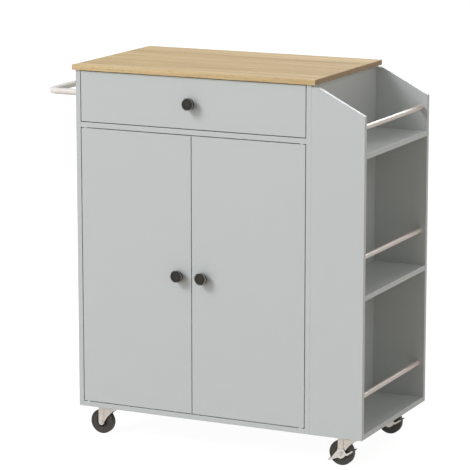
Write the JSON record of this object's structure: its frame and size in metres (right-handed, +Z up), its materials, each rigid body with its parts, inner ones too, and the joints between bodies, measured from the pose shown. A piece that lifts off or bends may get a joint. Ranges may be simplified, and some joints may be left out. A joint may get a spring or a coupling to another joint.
{
  "type": "kitchen island",
  "caption": "Kitchen island on casters: two-door cupboard under a drawer and an oak worktop, with an open side rack with rails and a towel bar.",
  "frame": {"origin": "on the floor, at the middle of the whole footprint, towel bar, rack and knobs included", "axes": "+Z up; +Y from the doors towards the back; +X to the right as seen from the doors, towards the rack"},
  "size_m": [0.832, 0.416, 0.9],
  "materials": {
    "grey_painted_board": "pale grey satin painted fibreboard",
    "drawer_board": "pale grey foil over board",
    "oak_worktop": "light oak, matt oiled, grain along its length",
    "hardboard": "hardboard with a painted face",
    "white_painted_tube": "off-white satin paint",
    "beech": "plain beech",
    "zinc_hardware": "bright zinc plate",
    "white_nylon": "moulded nylon",
    "catch_plastic": "moulded plastic",
    "runner_steel": "white baked paint on steel sheet",
    "dark_knob_metal": "dark gunmetal, satin",
    "caster_steel": "zinc plated pressed steel",
    "axle_steel": "plated steel",
    "wheel_rubber": "dark grey hard rubber",
    "brake_steel": "plated pressed steel"
  },
  "bodies": {
    "cabinet": {"worktop": "oak_worktop", "left_side_panel": "grey_painted_board", "right_side_panel": "grey_painted_board", "bottom_board": "grey_painted_board", "divider_board": "grey_painted_board", "back_stretcher": "grey_painted_board", "cupboard_shelf": "grey_painted_board", "rack_front_panel": "grey_painted_board", "rack_rear_panel": "grey_painted_board", "rack_bottom_shelf": "grey_painted_board", "rack_middle_shelf": "grey_painted_board", "rack_top_shelf": "grey_painted_board", "back_panel": "hardboard", "shelf_pins": "zinc_hardware", "rack_bottom_rail": "white_painted_tube", "rack_middle_rail": "white_painted_tube", "rack_top_rail": "white_painted_tube", "towel_bar": "white_painted_tube", "towel_bar_screws": "zinc_hardware", "cam_fasteners": "zinc_hardware", "dowels": "beech", "pivot_bushes": "white_nylon", "door_catch": "catch_plastic", "wood_screws": "zinc_hardware", "cabinet_rail_left": "runner_steel", "cabinet_rail_right": "runner_steel", "caster_plates": "caster_steel"},
    "drawer": {"drawer_front": "grey_painted_board", "drawer_left_side": "drawer_board", "drawer_right_side": "drawer_board", "drawer_back": "drawer_board", "drawer_bottom": "hardboard", "drawer_knob": "dark_knob_metal", "drawer_rail_left": "runner_steel", "drawer_rail_right": "runner_steel", "drawer_fixings": "zinc_hardware"},
    "cabinet_roller_left": {"cabinet_roller_left": "white_nylon"},
    "cabinet_roller_right": {"cabinet_roller_right": "white_nylon"},
    "drawer_roller_left": {"drawer_roller_left": "white_nylon"},
    "drawer_roller_right": {"drawer_roller_right": "white_nylon"},
    "left_door": {"left_door": "grey_painted_board", "left_door_knob": "dark_knob_metal", "left_door_fittings": "zinc_hardware"},
    "right_door": {"right_door": "grey_painted_board", "right_door_knob": "dark_knob_metal", "right_door_fittings": "zinc_hardware"},
    "fork_front_left": {"fork_front_left": "caster_steel", "axle_front_left": "axle_steel"},
    "wheel_front_left": {"wheel_front_left": "wheel_rubber"},
    "fork_rear_left": {"fork_rear_left": "caster_steel", "axle_rear_left": "axle_steel"},
    "wheel_rear_left": {"wheel_rear_left": "wheel_rubber"},
    "fork_front_right": {"fork_front_right": "caster_steel", "axle_front_right": "axle_steel"},
    "wheel_front_right": {"wheel_front_right": "wheel_rubber"},
    "fork_rear_right": {"fork_rear_right": "caster_steel", "axle_rear_right": "axle_steel"},
    "wheel_rear_right": {"wheel_rear_right": "wheel_rubber"},
    "brake_front_right": {"brake_front_right": "brake_steel"},
    "brake_rear_right": {"brake_rear_right": "brake_steel"}
  },
  "joints": [
    {"name": "drawer_slide", "type": "slide", "parent": "cabinet", "child": "drawer", "axis": [0, -1, 0], "range_m": [0, 0.25]},
    {"name": "cabinet_roller_left_spin", "type": "hinge", "parent": "cabinet", "child": "cabinet_roller_left", "pos_m": [-0.30225, -0.162, 0.7825], "axis": [1, 0, 0], "range_deg": [0, 1700]},
    {"name": "cabinet_roller_right_spin", "type": "hinge", "parent": "cabinet", "child": "cabinet_roller_right", "pos_m": [0.26825, -0.162, 0.7825], "axis": [1, 0, 0], "range_deg": [0, 1700]},
    {"name": "drawer_roller_left_spin", "type": "hinge", "parent": "drawer", "child": "drawer_roller_left", "pos_m": [-0.29925, 0.152, 0.7818], "axis": [1, 0, 0], "range_deg": [0, 1700]},
    {"name": "drawer_roller_right_spin", "type": "hinge", "parent": "drawer", "child": "drawer_roller_right", "pos_m": [0.26525, 0.152, 0.7818], "axis": [1, 0, 0], "range_deg": [0, 1700]},
    {"name": "left_door_hinge", "type": "hinge", "parent": "cabinet", "child": "left_door", "pos_m": [-0.295, -0.182, 0.42], "axis": [0, 0, -1], "range_deg": [0, 110]},
    {"name": "right_door_hinge", "type": "hinge", "parent": "cabinet", "child": "right_door", "pos_m": [0.261, -0.182, 0.42], "axis": [0, 0, 1], "range_deg": [0, 110]},
    {"name": "swivel_front_left", "type": "hinge", "parent": "cabinet", "child": "fork_front_left", "pos_m": [-0.261, -0.143, 0.065], "axis": [0, 0, 1], "continuous": true},
    {"name": "roll_front_left", "type": "hinge", "parent": "fork_front_left", "child": "wheel_front_left", "pos_m": [-0.279, -0.143, 0.03], "axis": [0, 1, 0], "continuous": true},
    {"name": "swivel_rear_left", "type": "hinge", "parent": "cabinet", "child": "fork_rear_left", "pos_m": [-0.261, 0.153, 0.065], "axis": [0, 0, 1], "continuous": true},
    {"name": "roll_rear_left", "type": "hinge", "parent": "fork_rear_left", "child": "wheel_rear_left", "pos_m": [-0.279, 0.153, 0.03], "axis": [0, 1, 0], "continuous": true},
    {"name": "swivel_front_right", "type": "hinge", "parent": "cabinet", "child": "fork_front_right", "pos_m": [0.367, -0.143, 0.065], "axis": [0, 0, 1], "continuous": true},
    {"name": "roll_front_right", "type": "hinge", "parent": "fork_front_right", "child": "wheel_front_right", "pos_m": [0.349, -0.143, 0.03], "axis": [0, 1, 0], "continuous": true},
    {"name": "swivel_rear_right", "type": "hinge", "parent": "cabinet", "child": "fork_rear_right", "pos_m": [0.367, 0.153, 0.065], "axis": [0, 0, 1], "continuous": true},
    {"name": "roll_rear_right", "type": "hinge", "parent": "fork_rear_right", "child": "wheel_rear_right", "pos_m": [0.349, 0.153, 0.03], "axis": [0, 1, 0], "continuous": true},
    {"name": "brake_press_front_right", "type": "hinge", "parent": "fork_front_right", "child": "brake_front_right", "pos_m": [0.349, -0.143, 0.03], "axis": [0, -1, 0], "range_deg": [0, 15]},
    {"name": "brake_press_rear_right", "type": "hinge", "parent": "fork_rear_right", "child": "brake_rear_right", "pos_m": [0.349, 0.153, 0.03], "axis": [0, -1, 0], "range_deg": [0, 15]}
  ],
  "couplings": [
    {"joint": "cabinet_roller_left_spin", "follows": "drawer_slide", "rad_per_m": 117.65},
    {"joint": "cabinet_roller_right_spin", "follows": "drawer_slide", "rad_per_m": 117.65},
    {"joint": "drawer_roller_left_spin", "follows": "drawer_slide", "rad_per_m": 117.65},
    {"joint": "drawer_roller_right_spin", "follows": "drawer_slide", "rad_per_m": 117.65}
  ]
}
